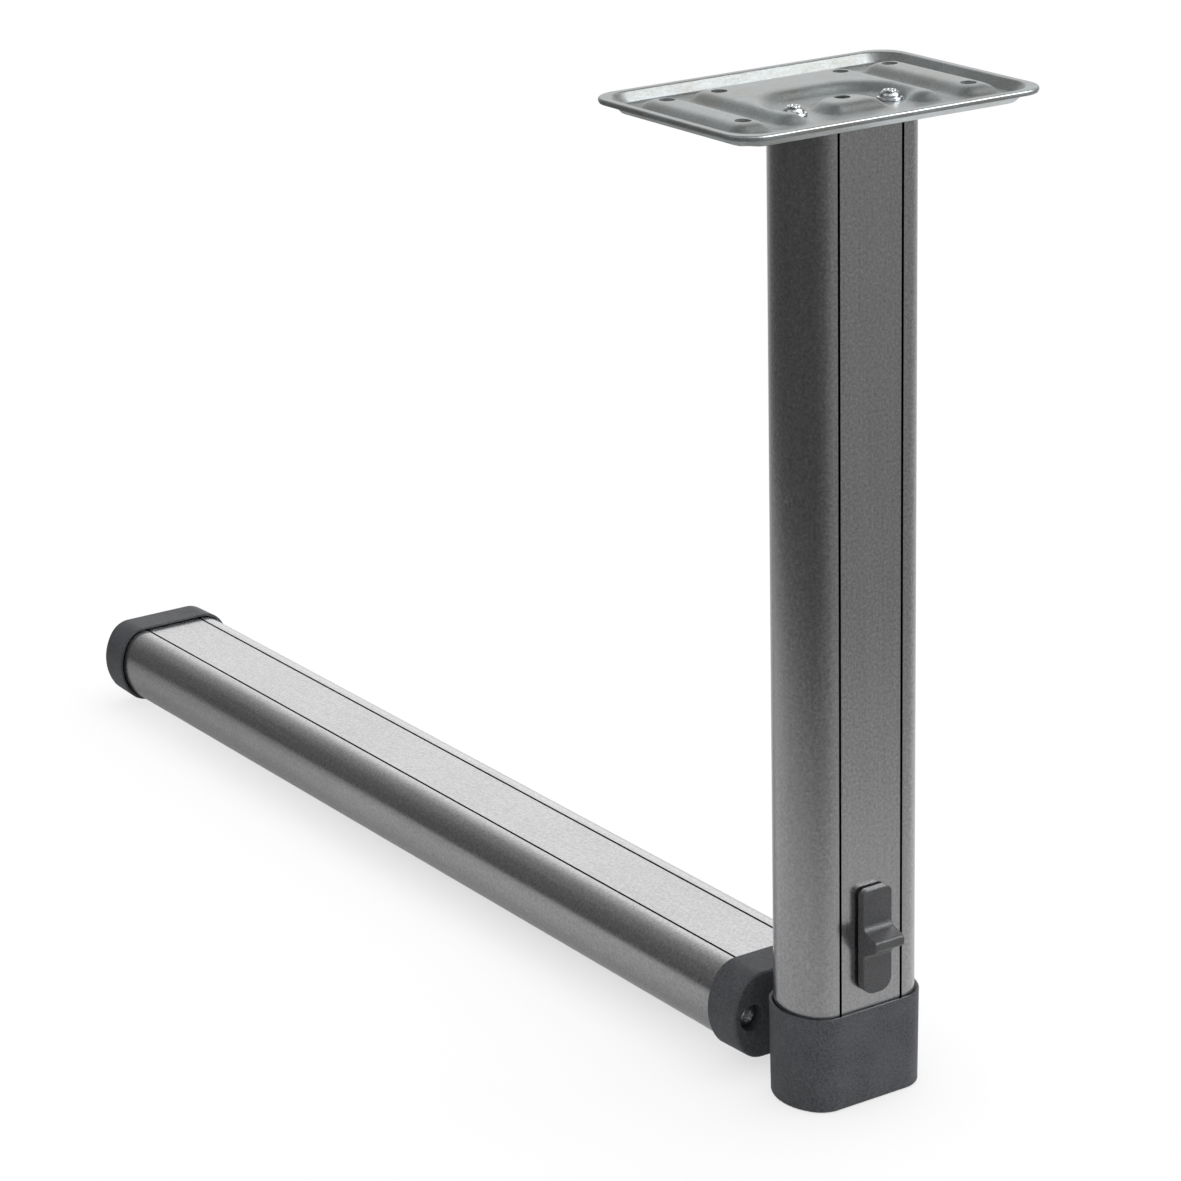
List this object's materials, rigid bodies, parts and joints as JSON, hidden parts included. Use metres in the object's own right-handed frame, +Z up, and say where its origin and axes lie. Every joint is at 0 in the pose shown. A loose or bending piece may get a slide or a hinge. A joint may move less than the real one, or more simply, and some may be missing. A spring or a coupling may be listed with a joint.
{
  "type": "swivel support leg",
  "caption": "Support leg: oval column with a pressed mounting plate on top, a slide latch near its foot, and a long foot arm that swivels about the column.",
  "frame": {"origin": "middle of the column foot, on the floor plane", "axes": "+X along the long side of the mounting plate, +Y along the foot arm away from the column, +Z up along the column"},
  "size_m": [0.15, 0.6445, 0.423],
  "materials": {
    "anodised_profile": "satin anodised",
    "zinc_sheet": "zinc plated",
    "zinc_steel": "zinc plated",
    "bright_steel": "ground",
    "spring_steel": "drawn wire",
    "tongue_steel": "zinc plated",
    "cast_aluminium": "die cast",
    "grey_moulding": "fine grained",
    "latch_moulding": "fine grained",
    "inner_moulding": "moulded"
  },
  "bodies": {
    "column": {"block_screw_left": "zinc_steel", "block_screw_right": "zinc_steel", "column_profile": "anodised_profile", "foot_cap": "grey_moulding", "latch_cage": "inner_moulding", "lower_washer": "inner_moulding", "mounting_plate": "zinc_sheet", "pivot_block": "cast_aluminium", "pivot_bolt": "zinc_steel", "pivot_nut": "zinc_steel", "pivot_sleeve": "bright_steel", "plate_screw_left": "zinc_steel", "plate_screw_right": "zinc_steel", "upper_washer": "inner_moulding"},
    "foot_arm": {"swivel_tongue": "tongue_steel", "hub_bush": "inner_moulding", "arm_insert": "cast_aluminium", "arm_profile": "anodised_profile", "arm_inner_cap": "grey_moulding", "arm_outer_cap": "grey_moulding", "inner_cap_screw_left": "zinc_steel", "inner_cap_screw_right": "zinc_steel", "outer_cap_screw_left": "zinc_steel", "outer_cap_screw_right": "zinc_steel", "tongue_screw_near": "zinc_steel", "tongue_screw_far": "zinc_steel"},
    "latch": {"latch_slider": "latch_moulding", "lock_rod": "bright_steel", "latch_pin": "bright_steel", "latch_spring": "spring_steel"}
  },
  "joints": [
    {"name": "arm_swivel", "type": "hinge", "parent": "column", "child": "foot_arm", "pos_m": [0, 0, 0.0195], "axis": [0, 0, 1], "range_deg": [-90, 0]},
    {"name": "latch_slide", "type": "slide", "parent": "column", "child": "latch", "axis": [0, 0, 1], "range_m": [0, 0.009], "stiffness_N_per_m": 300, "springref_m": -0.02, "deforming": ["latch_spring"]}
  ]
}
